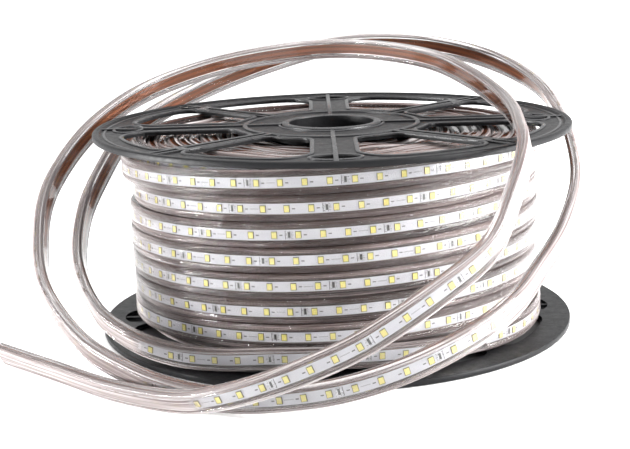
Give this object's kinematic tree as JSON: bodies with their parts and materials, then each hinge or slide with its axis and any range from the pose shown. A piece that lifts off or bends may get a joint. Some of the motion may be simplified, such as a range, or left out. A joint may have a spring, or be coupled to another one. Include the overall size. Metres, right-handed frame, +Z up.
{
  "type": "led rope light on a reel",
  "caption": "Flat clear LED strip light wound on a black moulded spool with open-windowed flanges, its free end lying in two loose hoops round the reel",
  "frame": {"origin": "on the spool's axis, in the plane of the lower flange's rim that it stands on", "axes": "+Z up along the spool's axis, -Y towards the viewer of the loose end, +X to the viewer's right"},
  "size_m": [0.4441, 0.4609, 0.211],
  "materials": {
    "spool_plastic": "fine satin moulding grain, glossier on the rim",
    "clear_vinyl": "clear extruded vinyl over a white circuit with yellow diodes, brown conductors showing from the back"
  },
  "bodies": {
    "root": {"lower_flange": "spool_plastic", "core_barrel": "spool_plastic", "wound_strip": "clear_vinyl", "loose_strip": "clear_vinyl", "upper_flange": "spool_plastic"}
  },
  "joints": []
}
